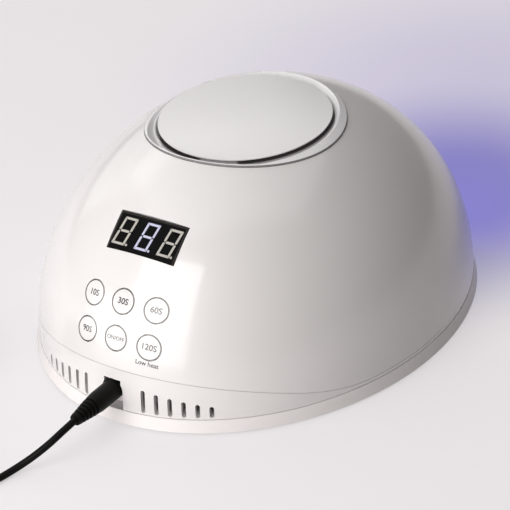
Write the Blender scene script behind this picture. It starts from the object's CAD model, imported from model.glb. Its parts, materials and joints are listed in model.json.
"""A dome-shaped UV curing lamp dressed around its CAD frame: finishes, key marks, lenses and lead."""

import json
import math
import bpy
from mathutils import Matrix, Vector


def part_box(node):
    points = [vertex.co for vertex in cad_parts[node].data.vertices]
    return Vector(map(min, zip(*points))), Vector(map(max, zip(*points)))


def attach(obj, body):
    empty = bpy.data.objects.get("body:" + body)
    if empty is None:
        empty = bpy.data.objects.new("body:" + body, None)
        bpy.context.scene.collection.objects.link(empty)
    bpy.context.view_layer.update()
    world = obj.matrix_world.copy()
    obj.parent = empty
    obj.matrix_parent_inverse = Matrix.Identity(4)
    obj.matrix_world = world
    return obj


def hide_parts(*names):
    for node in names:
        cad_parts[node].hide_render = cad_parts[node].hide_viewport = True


bl_info = {
    "name": "UV curing lamp",
    "version": (1, 0, 0),
    "blender": (4, 5, 0),
    "location": "View3D > Sidebar > Curing lamp",
    "description": "Dresses the packed curing lamp with its finishes, marks, lenses and lead",
    "category": "Object",
}

import bmesh
import bpy
from bpy.props import FloatProperty, FloatVectorProperty, IntProperty, PointerProperty
from mathutils import Quaternion, Vector
from mathutils.bvhtree import BVHTree

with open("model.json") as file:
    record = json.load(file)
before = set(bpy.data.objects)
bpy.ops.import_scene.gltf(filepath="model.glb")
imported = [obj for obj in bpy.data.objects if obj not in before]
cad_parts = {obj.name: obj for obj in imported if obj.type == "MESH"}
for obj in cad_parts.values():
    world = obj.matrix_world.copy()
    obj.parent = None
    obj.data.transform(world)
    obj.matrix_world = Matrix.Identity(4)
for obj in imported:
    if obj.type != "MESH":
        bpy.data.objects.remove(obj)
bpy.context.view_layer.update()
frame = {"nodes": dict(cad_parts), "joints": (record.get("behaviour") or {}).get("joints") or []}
NODES = frame["nodes"]
MM = 0.001

# ---------------------------------------------------------------- sizes and places, in metres
# The silver trim's dark outer line: where it begins and where it is full, inside the outer edge.
TRIM_CENTRE_Y = -10.6 * MM
TRIM_LINE_BEGINS = 0.45 * MM
TRIM_LINE_FULL = 0.25 * MM

# The chrome band stands along the cap's axis; its shoulder and groove are shares of its height.
CAP_AXIS = Vector((0.0, 0.0628, 0.998))
CHROME_SHOULDER_TOP = 0.76
CHROME_GROOVE_FOOT = 0.84

# The display's moulded rim, and the shares of its width between which the middle digit's colour
# lies and beyond which the outer digits' colours lie.
DISPLAY_RIM_SIDES = 1.1 * MM
DISPLAY_RIM_ENDS = 0.9 * MM
DISPLAY_RIM_SOFTNESS = 0.1 * MM
DISPLAY_HALF_WIDTH = 19 * MM
MIDDLE_DIGIT = (0.38, 0.60)
OUTER_DIGITS = (0.30, 0.72)

# The figures and rings printed on the keys, and the words under the last key. Words longer than a
# short one, and the words under the key, are a share of the figures' height.
KEY_WORDS = {
    "10s": "10S", "30s": "30S", "60s": "60S", "90s": "90S", "on_off": "ON/OFF", "120s": "120S",
}
SHORT_WORD = 4
LONG_WORD_SHARE = 0.66
LOW_HEAT_SHARE = 0.75
LOW_HEAT_DROP = 7.4 * MM
CAPITAL_SHARE = 0.7
STROKE_SHARE = 0.025
PRINT_HALF_THICKNESS = 0.02 * MM
PRINT_RISE = 0.03 * MM
PRINT_CLEAR = 50 * MM
KEY_RADIUS = 5.85 * MM
RING_INSET = 0.02 * MM
RING_WIDTH = 0.36 * MM
RING_STEPS = 96

# The lead: its free run from the plug, the put-away coil and its tail to the adapter.
CORD_ROUTE = [
    (0.0, 0.1379, 0.0165),
    (0.0005, 0.1456, 0.0156),
    (0.0032, 0.1526, 0.0120),
    (0.0076, 0.1586, 0.0076),
    (0.0122, 0.1636, 0.0038),
    (0.0156, 0.1702, 0.0018),
    (0.0174, 0.1780, 0.0018),
    (0.0202, 0.1875, 0.0018),
    (0.0242, 0.1970, 0.0018),
]
COIL_CENTRE = (0.0515, 0.1970)
COIL_OUTER = 0.0255
COIL_INNER = 0.0153
COIL_START = math.radians(159.9)
COIL_LOW = 0.0018
COIL_HIGH = 0.0052
SPIRAL_TURNS = 3
TAIL_ROUTE = [
    (0.0610, 0.2229, 0.0046),
    (0.0705, 0.2236, 0.0026),
    (0.0800, 0.2242, 0.0018),
    (0.0900, 0.2232, 0.0018),
    (0.0995, 0.2194, 0.0024),
    (0.1058, 0.2120, 0.0046),
    (0.1080, 0.2020, 0.0066),
]

# The table, and the violet light that spills on it: its middle, its reach and where it is full.
TABLE_HALF = 8.0
HAZE_SPILL = ((0.02, -0.30), 0.26, 1.0)
NEAR_SPILL = ((-0.035, -0.165), 0.155, 0.8)

# The studio's lights: where each stands and faces, its sides, its turn in degrees and its colour.
LIGHTS = {
    "softbox": {
        "place": (0.10, 0.90, 0.62), "aim": (-0.02, 0.09, 0.06), "sides": (0.72, 0.74), "turn": 13,
        "colour": (1, 0.992, 0.982),
    },
    "top_light": {
        "place": (0.50, -0.55, 2.1), "aim": (0.05, 0.0, 0.0), "sides": (3.2, 3.2), "turn": 0,
        "colour": (1, 1, 1),
    },
    "side_light": {
        "place": (1.25, -0.80, 0.80), "aim": (0.0, 0.0, 0.05), "sides": (1.6, 1.3), "turn": 0,
        "colour": (1, 0.995, 1),
    },
    "low_fill": {
        "place": (0.42, 1.20, 0.25), "aim": (0.0, 0.06, 0.03), "sides": (1.7, 0.48), "turn": 0,
        "colour": (1, 0.99, 0.98),
    },
    "violet_glow": {
        "place": (-0.02, -0.13, 0.05), "aim": (-0.06, -0.3, 0.0), "sides": (0.1, 0.05), "turn": 0,
        "colour": (0.20, 0.14, 1.0),
    },
}
CAMERA_TARGET = Vector((-24.97 * MM, 24.32 * MM, 50.89 * MM))

# ---------------------------------------------------------------- colours and strengths
# How fine the drift between two tones is, on most pieces and on small ones.
DRIFT_SCALE = 8.0
SMALL_DRIFT_SCALE = 900.0
EMITTER_DRIFT_SCALE = 400.0

# The trims, the blacks, the display and the emitters.
TRIM_LINE_GREY = (0.22, 0.21, 0.21)
CHROME_PALE = (0.72, 0.70, 0.71)
CHROME_DARK = (0.05, 0.045, 0.047)
BLACK_TONES = ((0.004, 0.0038, 0.0035), (0.007, 0.0065, 0.006))
DISPLAY_RIM_GREY = (0.032, 0.029, 0.027)
SEGMENT_GLOW = 0.12
EMITTER_TONES = ((0.36, 0.22, 1.0), (0.5, 0.35, 1.0))
EMITTER_GLOW = 1.5

# The table's paper by light and by its own glow, plain, in the violet haze and in the spill itself.
PAPER = (0.79, 0.765, 0.775)
PAPER_GLOW = (1.0, 0.965, 0.985)
HAZE_PAPER = (0.60, 0.56, 0.70)
HAZE_GLOW = (0.78, 0.735, 0.91)
VIOLET_PAPER = (0.34, 0.32, 0.50)
VIOLET_GLOW = (0.29, 0.27, 0.71)
GLOW_SHARE = 0.52

# The room's even light, and the surround that shows in gloss.
ROOM_COLOUR = (1.0, 0.95, 0.93)
SURROUND_COLOUR = (0.94, 0.89, 0.89)
SURROUND_STRENGTH = 0.3


# ---------------------------------------------------------------- settings
class LampFinish(bpy.types.PropertyGroup):
    """Colours of the lamp's own finishes, and the size of its print."""

    pearl: FloatVectorProperty(
        name="Pearl shell", description="Colour of the moulded dome and keys",
        subtype="COLOR", size=3, min=0, max=1, default=(0.795, 0.764, 0.752),
    )
    cap: FloatVectorProperty(
        name="Cap", description="Colour of the satin cap on top",
        subtype="COLOR", size=3, min=0, max=1, default=(0.82, 0.80, 0.80),
    )
    base: FloatVectorProperty(
        name="Base", description="Colour of the lift-off base",
        subtype="COLOR", size=3, min=0, max=1, default=(0.87, 0.825, 0.815),
    )
    print_ink: FloatVectorProperty(
        name="Key print", description="Colour of the figures printed on the keys",
        subtype="COLOR", size=3, min=0, max=1, default=(0.055, 0.05, 0.052),
    )
    digits: FloatVectorProperty(
        name="Outer digits", description="Colour of the segments of the first and last digit",
        subtype="COLOR", size=3, min=0, max=1, default=(0.44, 0.42, 0.38),
    )
    middle_digit: FloatVectorProperty(
        name="Middle digit", description="Colour of the segments of the middle digit",
        subtype="COLOR", size=3, min=0, max=1, default=(0.50, 0.50, 0.64),
    )
    figure_height: FloatProperty(
        name="Figure height", description="Height of the figures printed on the keys",
        subtype="DISTANCE", unit="LENGTH", default=2.8 * MM, min=1 * MM, max=5 * MM,
    )


class LampLead(bpy.types.PropertyGroup):
    """The power lead between the plug and the mains adapter."""

    diameter: FloatProperty(
        name="Lead diameter", description="Outside diameter of the lead",
        subtype="DISTANCE", unit="LENGTH", default=3.4 * MM, min=2 * MM, max=6 * MM,
    )
    turn_points: IntProperty(
        name="Points in a turn", description="Spline points in each turn of the put-away coil",
        default=16, min=12, max=32,
    )


class LampStudio(bpy.types.PropertyGroup):
    """The camera and the studio's lights."""

    azimuth: FloatProperty(
        name="Camera turn", description="How far the camera stands round from the rear of the lamp",
        subtype="ANGLE", unit="ROTATION", default=math.radians(34.45),
    )
    elevation: FloatProperty(
        name="Camera height", description="The camera's angle above the table",
        subtype="ANGLE", unit="ROTATION", default=math.radians(29.73),
    )
    roll: FloatProperty(
        name="Camera roll", description="The camera's tilt about its own axis",
        subtype="ANGLE", unit="ROTATION", default=math.radians(-3.31),
    )
    distance: FloatProperty(
        name="Camera distance", description="From the camera to the point that it looks at",
        subtype="DISTANCE", unit="LENGTH", default=0.8768, min=0.1, max=5,
    )
    lens: FloatProperty(
        name="Lens", description="The camera's focal length in millimetres",
        unit="CAMERA", default=129.76, min=20, max=300,
    )
    key_power: FloatProperty(
        name="Key light", description="Power of the large light beside the camera, in watts",
        unit="POWER", default=7.1, min=0, max=100,
    )
    top_power: FloatProperty(
        name="Top light", description="Power of the wide overhead light, in watts",
        unit="POWER", default=26.5, min=0, max=100,
    )
    side_power: FloatProperty(
        name="Side light", description="Power of the wide light before the hand opening, in watts",
        unit="POWER", default=4.3, min=0, max=100,
    )
    glow_power: FloatProperty(
        name="Violet glow", description="Power of the lamp's own light from the hand opening, in watts",
        unit="POWER", default=0.05, min=0, max=10,
    )
    fill_power: FloatProperty(
        name="Low fill", description="Power of the low light that fills the lamp's skirt, in watts",
        unit="POWER", default=8.6, min=0, max=100,
    )
    room: FloatProperty(
        name="Room light", description="Strength of the even light from all round",
        default=0.02, min=0, max=2,
    )


# ---------------------------------------------------------------- reading the frame
def extent(name, axis):
    """How far a CAD node reaches along an axis, lowest and highest."""
    along = [vertex.co.dot(axis) for vertex in NODES[name].data.vertices]
    return min(along), max(along)


def middle_of(name):
    """The middle of a CAD node's box."""
    low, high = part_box(name)
    return (Vector(low) + Vector(high)) / 2


def named(prefix):
    """The CAD nodes whose names start with a word."""
    return [name for name in NODES if name.startswith(prefix)]


def key_axes():
    """Across, up and out of the leaning rear face that holds the display and the keys."""
    press = Vector(next(joint for joint in frame["joints"] if joint["name"] == "press_10s")["axis"])
    out = -press.normalized()
    across = Vector((-1, 0, 0))
    return across, out.cross(across), out


def face_middle(name, across, up):
    """The middle of a key's round outline, from how far it reaches across and up."""
    middle = middle_of(name)
    middle += across * (sum(extent(name, across)) / 2 - middle.dot(across))
    return middle + up * (sum(extent(name, up)) / 2 - middle.dot(up))


# ---------------------------------------------------------------- shader nodes
def rgba(colour):
    """A colour with full alpha."""
    return (*colour, 1.0)


def toned(colour, share):
    """The same colour, lighter or darker."""
    return tuple(min(1.0, channel * share) for channel in colour)


def feed(tree, source, socket):
    """Gives a socket what another socket puts out, or a plain value."""
    if isinstance(source, bpy.types.NodeSocket):
        tree.links.new(source, socket)
    else:
        socket.default_value = source


def place_on_piece(tree):
    """Where a point lies in the piece's own space."""
    return tree.nodes.new("ShaderNodeTexCoord").outputs["Object"]


def number(tree, operation, first, second=0.0):
    """What a Math node puts out."""
    node = tree.nodes.new("ShaderNodeMath")
    node.operation = operation
    feed(tree, first, node.inputs[0])
    feed(tree, second, node.inputs[1])
    return node.outputs["Value"]


def vector(tree, operation, first, second=(0, 0, 0)):
    """What a Vector Math node puts out: a number for a dot product or a length, else a vector."""
    node = tree.nodes.new("ShaderNodeVectorMath")
    node.operation = operation
    feed(tree, first, node.inputs[0])
    feed(tree, second, node.inputs[1])
    return node.outputs["Value" if operation in ("DOT_PRODUCT", "LENGTH") else "Vector"]


def ramp_up(tree, value, low, high):
    """0 up to a low value, 1 from a high one, and even between them."""
    node = tree.nodes.new("ShaderNodeMapRange")
    node.inputs["From Min"].default_value = low
    node.inputs["From Max"].default_value = high
    tree.links.new(value, node.inputs["Value"])
    return node.outputs["Result"]


def colours_along(tree, value, stops):
    """A colour that follows a value through stops, each a position and a colour."""
    node = tree.nodes.new("ShaderNodeValToRGB")
    elements = node.color_ramp.elements
    first, *between, last = stops
    for element, (position, colour) in zip(elements, (first, last)):
        element.position = position
        element.color = rgba(colour)
    for position, colour in between:
        elements.new(position).color = rgba(colour)
    tree.links.new(value, node.inputs["Fac"])
    return node.outputs["Color"]


def over(tree, under, mask, colour):
    """A colour that turns to another where a mask is 1."""
    mix = tree.nodes.new("ShaderNodeMix")
    mix.data_type = "RGBA"
    mix.inputs["B"].default_value = rgba(colour)
    feed(tree, under, mix.inputs["A"])
    tree.links.new(mask, mix.inputs["Factor"])
    return mix.outputs["Result"]


def mixed_shaders(tree, share, first, second, target):
    """Feeds an output with two shaders, the second by a share."""
    mix = tree.nodes.new("ShaderNodeMixShader")
    tree.links.new(share, mix.inputs["Fac"])
    tree.links.new(first, mix.inputs[1])
    tree.links.new(second, mix.inputs[2])
    tree.links.new(mix.outputs["Shader"], target)


def seen_or_mirrored(tree):
    """1 where the camera sees a surface, straight or in gloss or glass."""
    rays = tree.nodes.new("ShaderNodeLightPath")
    straight_or_gloss = number(
        tree, "MAXIMUM", rays.outputs["Is Camera Ray"], rays.outputs["Is Glossy Ray"]
    )
    return number(tree, "MAXIMUM", straight_or_gloss, rays.outputs["Is Transmission Ray"])


# ---------------------------------------------------------------- shader groups
def new_group(name, inputs, outputs):
    """Starts a shader group with named sockets; both ends are None where it is already there."""
    if name in bpy.data.node_groups:
        return bpy.data.node_groups[name], None, None
    tree = bpy.data.node_groups.new(name, "ShaderNodeTree")
    for socket, kind, value in inputs:
        made = tree.interface.new_socket(name=socket, in_out="INPUT", socket_type=kind)
        made.default_value = value
    for socket, kind in outputs:
        tree.interface.new_socket(name=socket, in_out="OUTPUT", socket_type=kind)
    return tree, tree.nodes.new("NodeGroupInput"), tree.nodes.new("NodeGroupOutput")


def piece_noise(tree, scale, detail):
    """Noise laid out in the piece's own space."""
    noise = tree.nodes.new("ShaderNodeTexNoise")
    tree.links.new(place_on_piece(tree), noise.inputs["Vector"])
    feed(tree, scale, noise.inputs["Scale"])
    feed(tree, detail, noise.inputs["Detail"])
    return noise


def moulded_grain():
    """Fine height variation of a moulded or printed surface."""
    tree, start, end = new_group(
        "Moulded grain",
        [("Scale", "NodeSocketFloat", 900.0), ("Detail", "NodeSocketFloat", 3.0)],
        [("Height", "NodeSocketFloat")],
    )
    if start is None:
        return tree
    noise = piece_noise(tree, start.outputs["Scale"], start.outputs["Detail"])
    noise.inputs["Roughness"].default_value = 0.6
    tree.links.new(noise.outputs["Fac"], end.inputs["Height"])
    return tree


def handling_haze():
    """Patchy sheen where hands and dust have dulled a surface."""
    tree, start, end = new_group(
        "Handling haze",
        [
            ("Scale", "NodeSocketFloat", 25.0),
            ("Polished", "NodeSocketFloat", 0.2),
            ("Dulled", "NodeSocketFloat", 0.35),
        ],
        [("Roughness", "NodeSocketFloat")],
    )
    if start is None:
        return tree
    noise = piece_noise(tree, start.outputs["Scale"], detail=5.0)
    spread = tree.nodes.new("ShaderNodeMapRange")
    spread.inputs["From Min"].default_value = 0.3
    spread.inputs["From Max"].default_value = 0.7
    tree.links.new(noise.outputs["Fac"], spread.inputs["Value"])
    tree.links.new(start.outputs["Polished"], spread.inputs["To Min"])
    tree.links.new(start.outputs["Dulled"], spread.inputs["To Max"])
    tree.links.new(spread.outputs["Result"], end.inputs["Roughness"])
    return tree


def tone_drift():
    """A slow drift between two close tones."""
    tree, start, end = new_group(
        "Tone drift",
        [
            ("Scale", "NodeSocketFloat", DRIFT_SCALE),
            ("Tone", "NodeSocketColor", (0.8, 0.8, 0.8, 1)),
            ("Second tone", "NodeSocketColor", (0.75, 0.75, 0.75, 1)),
        ],
        [("Color", "NodeSocketColor")],
    )
    if start is None:
        return tree
    noise = piece_noise(tree, start.outputs["Scale"], detail=2.0)
    mix = tree.nodes.new("ShaderNodeMix")
    mix.data_type = "RGBA"
    tree.links.new(noise.outputs["Fac"], mix.inputs["Factor"])
    tree.links.new(start.outputs["Tone"], mix.inputs["A"])
    tree.links.new(start.outputs["Second tone"], mix.inputs["B"])
    tree.links.new(mix.outputs["Result"], end.inputs["Color"])
    return tree


def grouped(tree, maker, values, output):
    """Places a shader group in a material with its own values, and gives what it puts out."""
    node = tree.nodes.new("ShaderNodeGroup")
    node.node_tree = maker()
    for name, value in values.items():
        node.inputs[name].default_value = value
    return node.outputs[output]


def drifting(tree, tones, scale=DRIFT_SCALE):
    """A colour that drifts between two tones."""
    colour, second = tones
    values = {"Scale": scale, "Tone": rgba(colour), "Second tone": rgba(second)}
    return grouped(tree, tone_drift, values, "Color")


# ---------------------------------------------------------------- materials
def inside(material):
    """A material's node tree and its shader."""
    return material.node_tree, material.node_tree.nodes["Principled BSDF"]


def surface(name, tones, haze, grain=None, drift_scale=DRIFT_SCALE, fixed=None):
    """A material with drifting tones, patchy sheen and fine grain.

    Tones are two close colours, or None where the material makes its own colour. Haze is the
    roughness where polished and where dulled, grain is its scale and depth, and fixed values go
    on the shader's own sockets.
    """
    material = bpy.data.materials.new(name)
    material.use_nodes = True
    tree, shader = inside(material)
    if tones:
        tree.links.new(drifting(tree, tones, drift_scale), shader.inputs["Base Color"])
    polished, dulled = haze
    sheen = grouped(tree, handling_haze, {"Polished": polished, "Dulled": dulled}, "Roughness")
    tree.links.new(sheen, shader.inputs["Roughness"])
    if grain:
        scale, depth = grain
        bump = tree.nodes.new("ShaderNodeBump")
        bump.inputs["Strength"].default_value = 1.0
        bump.inputs["Distance"].default_value = depth
        height = grouped(tree, moulded_grain, {"Scale": scale}, "Height")
        tree.links.new(height, bump.inputs["Height"])
        tree.links.new(bump.outputs["Normal"], shader.inputs["Normal"])
    for socket, value in (fixed or {}).items():
        shader.inputs[socket].default_value = value
    return material


def pearl_shell(look):
    """Glossy pearl-white moulding."""
    return surface(
        "Pearl shell", (look.pearl, toned(look.pearl, 0.97)), haze=(0.20, 0.27),
        grain=(1400, 0.006 * MM), fixed={"Coat Weight": 0.6, "Coat Roughness": 0.06, "IOR": 1.5},
    )


def satin_cap(look):
    """Pale satin with a slight metal flake."""
    return surface(
        "Satin cap", (look.cap, toned(look.cap, 0.96)), haze=(0.30, 0.38),
        grain=(2600, 0.008 * MM),
        fixed={"Metallic": 0.12, "Coat Weight": 0.15, "Coat Roughness": 0.2},
    )


def base_white(look):
    """The base's half-matt white moulding."""
    return surface(
        "Base white", (look.base, toned(look.base, 0.97)), haze=(0.28, 0.36),
        grain=(1400, 0.008 * MM), fixed={"Coat Weight": 0.2, "Coat Roughness": 0.12},
    )


def trim_silver():
    """Satin silver with a dark line at its outer edge, where it meets the dome."""
    material = surface(
        "Trim silver", None, haze=(0.24, 0.32),
        fixed={"Metallic": 0.2, "Coat Weight": 0.2, "Coat Roughness": 0.12},
    )
    tree, shader = inside(material)
    vertices = NODES["trim_ring"].data.vertices
    outer = max(math.hypot(vertex.co.x, vertex.co.y - TRIM_CENTRE_Y) for vertex in vertices)
    level = vector(tree, "MULTIPLY", place_on_piece(tree), (1, 1, 0))
    reach = vector(tree, "LENGTH", vector(tree, "SUBTRACT", level, (0, TRIM_CENTRE_Y, 0)))
    line = ramp_up(tree, reach, outer - TRIM_LINE_BEGINS, outer - TRIM_LINE_FULL)
    silver = drifting(tree, ((0.84, 0.825, 0.83), (0.80, 0.785, 0.79)))
    tree.links.new(over(tree, silver, line, TRIM_LINE_GREY), shader.inputs["Base Color"])
    return material


def chromed_trim():
    """Chrome that shows dark in the groove under the cap and pale on its lower shoulder."""
    material = surface("Chromed trim", None, haze=(0.08, 0.14), fixed={"Metallic": 0.8})
    tree, shader = inside(material)
    along = vector(tree, "DOT_PRODUCT", place_on_piece(tree), CAP_AXIS)
    height = ramp_up(tree, along, *extent("chrome_band", CAP_AXIS))
    stops = ((CHROME_SHOULDER_TOP, CHROME_PALE), (CHROME_GROOVE_FOOT, CHROME_DARK))
    tree.links.new(colours_along(tree, height, stops), shader.inputs["Base Color"])
    return material


def silver_reflector():
    """The lightly rippled silvering inside the dome."""
    return surface(
        "Silvered reflector", ((0.80, 0.80, 0.82), (0.76, 0.76, 0.79)), haze=(0.10, 0.20),
        grain=(300, 0.02 * MM), fixed={"Metallic": 1.0},
    )


def mirror_sheet():
    """The smooth mirror on the base."""
    return surface(
        "Mirror sheet", ((0.82, 0.82, 0.84), (0.80, 0.80, 0.82)), haze=(0.04, 0.12),
        fixed={"Metallic": 1.0},
    )


def foot_rubber():
    """Matt black rubber."""
    return surface(
        "Foot rubber", ((0.03, 0.03, 0.032), (0.045, 0.044, 0.044)), haze=(0.6, 0.8),
        grain=(1800, 0.03 * MM),
    )


def plated_steel():
    """Bright plating on screws, magnets, plates and contacts."""
    return surface(
        "Plated steel", ((0.60, 0.60, 0.61), (0.52, 0.52, 0.53)), haze=(0.2, 0.38),
        fixed={"Metallic": 1.0},
    )


def led_board():
    """The white solder mask that the emitters stand on."""
    return surface(
        "White board", ((0.82, 0.82, 0.80), (0.76, 0.76, 0.74)), haze=(0.35, 0.5),
        grain=(1200, 0.01 * MM),
    )


def led_lens():
    """A clear epoxy lens with a violet light in it."""
    material = surface(
        "Emitter lens", ((0.62, 0.56, 0.72), (0.55, 0.48, 0.70)), haze=(0.05, 0.12),
        fixed={"Coat Weight": 0.5, "Coat Roughness": 0.03, "Emission Strength": EMITTER_GLOW},
    )
    tree, shader = inside(material)
    tree.links.new(drifting(tree, EMITTER_TONES, EMITTER_DRIFT_SCALE), shader.inputs["Emission Color"])
    return material


def black_plastic():
    """Fine-grained black moulding."""
    return surface(
        "Black moulding", BLACK_TONES, haze=(0.34, 0.5), grain=(2200, 0.02 * MM),
        fixed={"Specular IOR Level": 0.08},
    )


def cord_cover():
    """The lead's soft black cover."""
    return surface(
        "Cord cover", BLACK_TONES, haze=(0.36, 0.48), grain=(1600, 0.015 * MM),
        fixed={"Specular IOR Level": 0.08},
    )


def rim_mask(tree, name, axis, width):
    """1 within a width of a node's two edges that lie along an axis, and 0 between them."""
    low, high = extent(name, axis)
    inner = (high - low) / 2 - width
    along = vector(tree, "DOT_PRODUCT", place_on_piece(tree), axis)
    from_middle = number(tree, "ABSOLUTE", number(tree, "SUBTRACT", along, (low + high) / 2))
    return ramp_up(tree, from_middle, inner, inner + DISPLAY_RIM_SOFTNESS)


def display_black():
    """A black face with the paler moulded rim that such a display has."""
    material = surface(
        "Display face", None, haze=(0.25, 0.35), fixed={"Specular IOR Level": 0.08},
    )
    tree, shader = inside(material)
    across, up, _ = key_axes()
    sides = rim_mask(tree, "display_module", -across, DISPLAY_RIM_SIDES)
    ends = rim_mask(tree, "display_module", up, DISPLAY_RIM_ENDS)
    rim = number(tree, "MAXIMUM", sides, ends)
    face = drifting(tree, ((0.003, 0.003, 0.003), (0.005, 0.0045, 0.005)))
    tree.links.new(over(tree, face, rim, DISPLAY_RIM_GREY), shader.inputs["Base Color"])
    return material


def lit_segments(look):
    """Segments in a warm grey at both sides and a cool white on the middle digit."""
    material = surface(
        "Lit segments", None, haze=(0.3, 0.4), fixed={"Emission Strength": SEGMENT_GLOW},
    )
    tree, shader = inside(material)
    along = vector(tree, "DOT_PRODUCT", place_on_piece(tree), (1, 0, 0))
    share = ramp_up(tree, along, -DISPLAY_HALF_WIDTH, DISPLAY_HALF_WIDTH)
    stops = (
        (OUTER_DIGITS[0], look.digits), (MIDDLE_DIGIT[0], look.middle_digit),
        (MIDDLE_DIGIT[1], look.middle_digit), (OUTER_DIGITS[1], look.digits),
    )
    colour = colours_along(tree, share, stops)
    tree.links.new(colour, shader.inputs["Base Color"])
    tree.links.new(colour, shader.inputs["Emission Color"])
    return material


def circuit_board():
    """Green solder mask."""
    return surface(
        "Circuit board", ((0.03, 0.18, 0.08), (0.05, 0.23, 0.11)), haze=(0.3, 0.45),
        drift_scale=SMALL_DRIFT_SCALE,
    )


def brass_pin():
    """The jack's bright brass."""
    return surface(
        "Brass pin", ((0.72, 0.56, 0.28), (0.62, 0.47, 0.22)), haze=(0.18, 0.3),
        fixed={"Metallic": 1.0},
    )


def key_print(look):
    """Dark ink under a clear gloss."""
    return surface(
        "Key print", (look.print_ink, toned(look.print_ink, 1.3)), haze=(0.08, 0.16),
        drift_scale=SMALL_DRIFT_SCALE,
        fixed={"Specular IOR Level": 0.5, "Coat Weight": 1.0, "Coat Roughness": 0.06},
    )


def dress(material, *names):
    """Puts a material on CAD nodes."""
    for name in names:
        slots = NODES[name].data.materials
        slots.clear()
        slots.append(material)


# ---------------------------------------------------------------- the lamp's finishes
class LAMP_OT_shell(bpy.types.Operator):
    """Dresses the dome, its keys, the cap and its trims, and the base"""

    bl_idname = "lamp.shell"
    bl_label = "Finish the shell"

    def execute(self, context):
        look = context.scene.lamp_finish
        keys = [f"key_{key}" for key in KEY_WORDS]
        dress(pearl_shell(look), "dome_shell", "lower_frame", "front_bezel", *keys)
        dress(satin_cap(look), "top_cap")
        dress(base_white(look), "base_tray")
        dress(trim_silver(), "trim_ring")
        dress(chromed_trim(), "chrome_band")
        return {"FINISHED"}


class LAMP_OT_optics(bpy.types.Operator):
    """Dresses the reflector, the mirror, the light boards and their emitters"""

    bl_idname = "lamp.optics"
    bl_label = "Finish the light source"

    def execute(self, context):
        dress(silver_reflector(), "reflector")
        dress(mirror_sheet(), "base_mirror")
        dress(led_board(), *named("led_boards"))
        dress(led_lens(), *named("leds"))
        return {"FINISHED"}


class LAMP_OT_display(bpy.types.Operator):
    """Dresses the display, its digits and the boards behind it"""

    bl_idname = "lamp.display"
    bl_label = "Finish the display"

    def execute(self, context):
        dress(display_black(), "display_module")
        dress(lit_segments(context.scene.lamp_finish), "display_segments")
        dress(circuit_board(), "display_board", "key_board")
        return {"FINISHED"}


class LAMP_OT_fittings(bpy.types.Operator):
    """Dresses the feet, the metal fittings, and the black jack, sensors, plug, tie and adapter"""

    bl_idname = "lamp.fittings"
    bl_label = "Finish the fittings"

    def execute(self, context):
        dress(foot_rubber(), "base_feet")
        dress(plated_steel(), "keeper_discs", "frame_magnets", "frame_screws", "plug_barrel",
              "adapter_pins")
        dress(brass_pin(), "jack_pin")
        dress(black_plastic(), "hand_sensors", "key_switches", "power_jack", "plug_grip",
              "coil_tie", "adapter_case", "adapter_plate", "adapter_relief")
        return {"FINISHED"}


# ---------------------------------------------------------------- the print on the keys
def add_piece(name, mesh, material, body):
    """Links a mesh as a piece, dresses it and rides it on a body."""
    piece = bpy.data.objects.new(name, mesh)
    bpy.context.scene.collection.objects.link(piece)
    mesh.materials.clear()
    mesh.materials.append(material)
    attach(piece, body)
    return piece


def text_mesh(words, height):
    """A flat text with capitals of a height, centred, as a mesh."""
    curve = bpy.data.curves.new("words", "FONT")
    curve.body = words
    curve.size = height / CAPITAL_SHARE
    curve.align_x = "CENTER"
    curve.align_y = "CENTER"
    curve.extrude = PRINT_HALF_THICKNESS
    curve.offset = height * STROKE_SHARE
    curve.resolution_u = 4
    carrier = bpy.data.objects.new("words", curve)
    bpy.context.scene.collection.objects.link(carrier)
    bpy.context.view_layer.update()
    mesh = bpy.data.meshes.new_from_object(carrier)
    bpy.data.objects.remove(carrier)
    bpy.data.curves.remove(curve)
    return mesh


def join_ring(mesh):
    """Adds the fine printed ring at the edge of a key's face."""
    form = bmesh.new()
    form.from_mesh(mesh)
    turns = [2 * math.pi * step / RING_STEPS for step in range(RING_STEPS)]
    inner, outer = (
        [form.verts.new((radius * math.cos(turn), radius * math.sin(turn), 0)) for turn in turns]
        for radius in (KEY_RADIUS - RING_WIDTH, KEY_RADIUS - RING_INSET)
    )
    for step in range(RING_STEPS):
        after = (step + 1) % RING_STEPS
        form.faces.new((inner[step], outer[step], outer[after], inner[after]))
    form.to_mesh(mesh)
    form.free()


def print_on(mesh, name, middle, across, up, out):
    """Lays a flat mesh on the face of a CAD node, about a middle."""
    solid = NODES[name].data
    target = BVHTree.FromPolygons(
        [vertex.co.copy() for vertex in solid.vertices],
        [tuple(face.vertices) for face in solid.polygons],
    )
    for vertex in mesh.vertices:
        above = middle + across * vertex.co.x + up * vertex.co.y + out * PRINT_CLEAR
        hit = target.ray_cast(above, -out)[0]
        if hit is None:
            raise RuntimeError("a printed figure misses its surface")
        vertex.co = hit + out * (PRINT_RISE + vertex.co.z)


class LAMP_OT_key_prints(bpy.types.Operator):
    """Prints each key's figures and ring, and the words under the last key"""

    bl_idname = "lamp.key_prints"
    bl_label = "Print the keys"

    def execute(self, context):
        look = context.scene.lamp_finish
        ink = key_print(look)
        across, up, out = key_axes()
        for key, words in KEY_WORDS.items():
            share = LONG_WORD_SHARE if len(words) > SHORT_WORD else 1.0
            mesh = text_mesh(words, look.figure_height * share)
            join_ring(mesh)
            middle = face_middle(f"key_{key}", across, up)
            print_on(mesh, f"key_{key}", middle, across, up, out)
            add_piece(f"print_{key}", mesh, ink, f"button_{key}")
        mesh = text_mesh("Low heat", look.figure_height * LOW_HEAT_SHARE)
        middle = middle_of("key_120s") - up * LOW_HEAT_DROP
        print_on(mesh, "dome_shell", middle, across, up, out)
        add_piece("print_low_heat", mesh, ink, "housing")
        return {"FINISHED"}


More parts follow.
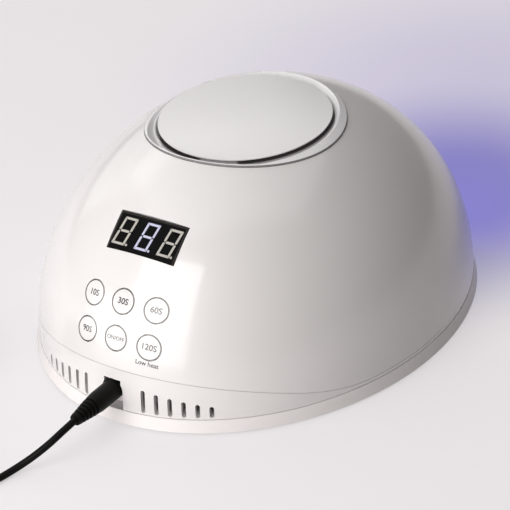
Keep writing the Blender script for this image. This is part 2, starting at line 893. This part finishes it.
# ---------------------------------------------------------------- the lead
def coil_points(points_in_turn):
    """The coil: in along the lower layer, round at the middle while rising, and out above it."""
    pitch = (COIL_OUTER - COIL_INNER) / SPIRAL_TURNS
    out_turns = SPIRAL_TURNS + (COIL_START - math.pi / 2) / (2 * math.pi)
    total = SPIRAL_TURNS + 1 + out_turns
    points = []
    for step in range(int(total * points_in_turn) + 1):
        turn = step / points_in_turn
        if turn <= SPIRAL_TURNS:
            radius = COIL_OUTER - pitch * turn
            height = COIL_LOW
        elif turn <= SPIRAL_TURNS + 1:
            radius = COIL_INNER
            height = COIL_LOW + (COIL_HIGH - COIL_LOW) * (turn - SPIRAL_TURNS)
        else:
            radius = min(COIL_OUTER, COIL_INNER + pitch * (turn - SPIRAL_TURNS - 1))
            height = COIL_HIGH
        angle = COIL_START - 2 * math.pi * turn
        across = COIL_CENTRE[0] + radius * math.cos(angle)
        along = COIL_CENTRE[1] + radius * math.sin(angle)
        points.append((across, along, height))
    return points


class LAMP_OT_lead(bpy.types.Operator):
    """Lays the power lead from its plug to the mains adapter"""

    bl_idname = "lamp.lead"
    bl_label = "Lay the lead"

    def execute(self, context):
        lead = context.scene.lamp_lead
        points = CORD_ROUTE + coil_points(lead.turn_points) + TAIL_ROUTE
        curve = bpy.data.curves.new("power_lead", "CURVE")
        curve.dimensions = "3D"
        curve.bevel_depth = lead.diameter / 2
        curve.bevel_resolution = 4
        curve.use_fill_caps = True
        spline = curve.splines.new("NURBS")
        spline.points.add(len(points) - 1)
        for point, place in zip(spline.points, points):
            point.co = (*place, 1)
        spline.order_u = 3
        spline.use_endpoint_u = True
        spline.resolution_u = 4
        curve.materials.append(cord_cover())
        piece = bpy.data.objects.new("power_lead", curve)
        context.scene.collection.objects.link(piece)
        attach(piece, "lead")
        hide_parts("power_cord", "cord_coil", "cord_tail")
        return {"FINISHED"}


# ---------------------------------------------------------------- the studio
def violet_spill(tree, middle, reach, full):
    """A soft round mask on the table, before the hand opening."""
    x, y = middle
    fit = tree.nodes.new("ShaderNodeMapping")
    fit.inputs["Scale"].default_value = (1 / reach, 1 / reach, 1)
    fit.inputs["Location"].default_value = (-x / reach, -y / reach, 0)
    ball = tree.nodes.new("ShaderNodeTexGradient")
    ball.gradient_type = "SPHERICAL"
    soft = tree.nodes.new("ShaderNodeMapRange")
    soft.interpolation_type = "SMOOTHSTEP"
    soft.inputs["From Max"].default_value = full
    tree.links.new(place_on_piece(tree), fit.inputs["Vector"])
    tree.links.new(fit.outputs["Vector"], ball.inputs["Vector"])
    tree.links.new(ball.outputs["Fac"], soft.inputs["Value"])
    return soft.outputs["Result"]


def table_paper():
    """Pale paper that shows its own colour to the camera and takes the lamp's violet spill."""
    material = surface("Table paper", None, haze=(0.5, 0.6))
    tree, shader = inside(material)
    haze = violet_spill(tree, *HAZE_SPILL)
    near = violet_spill(tree, *NEAR_SPILL)
    paper = over(tree, over(tree, rgba(PAPER), haze, HAZE_PAPER), near, VIOLET_PAPER)
    tree.links.new(paper, shader.inputs["Base Color"])
    glow = tree.nodes.new("ShaderNodeEmission")
    light = over(tree, over(tree, rgba(PAPER_GLOW), haze, HAZE_GLOW), near, VIOLET_GLOW)
    tree.links.new(light, glow.inputs["Color"])
    share = number(tree, "MULTIPLY", seen_or_mirrored(tree), GLOW_SHARE)
    output = tree.nodes["Material Output"].inputs["Surface"]
    mixed_shaders(tree, share, shader.outputs["BSDF"], glow.outputs["Emission"], output)
    return material


def lay_table():
    """A pale seamless table top."""
    corners = [(x * TABLE_HALF, y * TABLE_HALF, 0) for x, y in ((-1, -1), (1, -1), (1, 1), (-1, 1))]
    mesh = bpy.data.meshes.new("table_top")
    mesh.from_pydata(corners, [], [(0, 1, 2, 3)])
    mesh.materials.append(table_paper())
    table = bpy.data.objects.new("table_top", mesh)
    bpy.context.scene.collection.objects.link(table)


def light_room(strength):
    """An even room light, with a pale surround for what the camera and the gloss see."""
    world = bpy.data.worlds.new("studio_room")
    world.use_nodes = True
    tree = world.node_tree
    even = tree.nodes["Background"]
    even.inputs["Color"].default_value = rgba(ROOM_COLOUR)
    even.inputs["Strength"].default_value = strength
    surround = tree.nodes.new("ShaderNodeBackground")
    surround.inputs["Color"].default_value = rgba(SURROUND_COLOUR)
    surround.inputs["Strength"].default_value = SURROUND_STRENGTH
    mixed_shaders(
        tree, seen_or_mirrored(tree), even.outputs["Background"], surround.outputs["Background"],
        tree.nodes["World Output"].inputs["Surface"],
    )
    bpy.context.scene.world = world


def area_light(name, power, place, aim, sides, turn, colour):
    """A rectangular light that faces a point, turned about its own axis by some degrees."""
    data = bpy.data.lights.new(name, "AREA")
    data.shape = "RECTANGLE"
    data.size, data.size_y = sides
    data.energy = power
    data.color = colour
    light = bpy.data.objects.new(name, data)
    light.location = place
    facing = (Vector(place) - Vector(aim)).to_track_quat("Z", "Y")
    light.rotation_euler = (facing @ Quaternion((0, 0, 1), math.radians(turn))).to_euler()
    light.visible_camera = False
    bpy.context.scene.collection.objects.link(light)


def place_camera(studio):
    """A camera behind the lamp, to the display's right."""
    flat = math.cos(studio.elevation)
    back = Vector((
        -math.sin(studio.azimuth) * flat, math.cos(studio.azimuth) * flat, math.sin(studio.elevation)
    ))
    data = bpy.data.cameras.new("camera")
    data.lens = studio.lens
    data.sensor_width = 36.0
    camera = bpy.data.objects.new("camera", data)
    camera.location = CAMERA_TARGET + back * studio.distance
    turn = back.to_track_quat("Z", "Y") @ Quaternion((0, 0, 1), studio.roll)
    camera.rotation_euler = turn.to_euler()
    bpy.context.scene.collection.objects.link(camera)
    bpy.context.scene.camera = camera


class LAMP_OT_studio(bpy.types.Operator):
    """Sets up the table, the lights and the camera"""

    bl_idname = "lamp.studio"
    bl_label = "Set up the studio"

    def execute(self, context):
        studio = context.scene.lamp_studio
        powers = {
            "softbox": studio.key_power,
            "top_light": studio.top_power,
            "side_light": studio.side_power,
            "low_fill": studio.fill_power,
            "violet_glow": studio.glow_power,
        }
        lay_table()
        light_room(studio.room)
        for name, light in LIGHTS.items():
            area_light(name, powers[name], **light)
        place_camera(studio)
        context.scene.view_settings.view_transform = "Standard"
        return {"FINISHED"}


# ---------------------------------------------------------------- the add-on
STEPS = (
    LAMP_OT_studio, LAMP_OT_lead, LAMP_OT_shell, LAMP_OT_optics, LAMP_OT_display,
    LAMP_OT_fittings, LAMP_OT_key_prints,
)


class LAMP_PT_panel(bpy.types.Panel):
    """Lists the lamp's steps and settings"""

    bl_label = "Curing lamp"
    bl_idname = "LAMP_PT_panel"
    bl_space_type = "VIEW_3D"
    bl_region_type = "UI"
    bl_category = "Curing lamp"

    def draw(self, context):
        for step in STEPS:
            self.layout.operator(step.bl_idname)
        scene = context.scene
        for group in (scene.lamp_finish, scene.lamp_lead, scene.lamp_studio):
            box = self.layout.box()
            for name in group.__annotations__:
                box.prop(group, name)


CLASSES = (LampFinish, LampLead, LampStudio, *STEPS, LAMP_PT_panel)


def register():
    """Registers the classes and the scene's settings."""
    for kind in CLASSES:
        bpy.utils.register_class(kind)
    bpy.types.Scene.lamp_finish = PointerProperty(type=LampFinish)
    bpy.types.Scene.lamp_lead = PointerProperty(type=LampLead)
    bpy.types.Scene.lamp_studio = PointerProperty(type=LampStudio)


def unregister():
    """Takes the settings and the classes away again."""
    del bpy.types.Scene.lamp_studio
    del bpy.types.Scene.lamp_lead
    del bpy.types.Scene.lamp_finish
    for kind in reversed(CLASSES):
        bpy.utils.unregister_class(kind)


def main():
    """Builds everything in order and notes the sizes."""
    register()
    bpy.ops.lamp.studio()
    bpy.ops.lamp.lead()
    bpy.ops.lamp.shell()
    bpy.ops.lamp.optics()
    bpy.ops.lamp.display()
    bpy.ops.lamp.fittings()
    bpy.ops.lamp.key_prints()


if __name__ == "__main__":
    main()
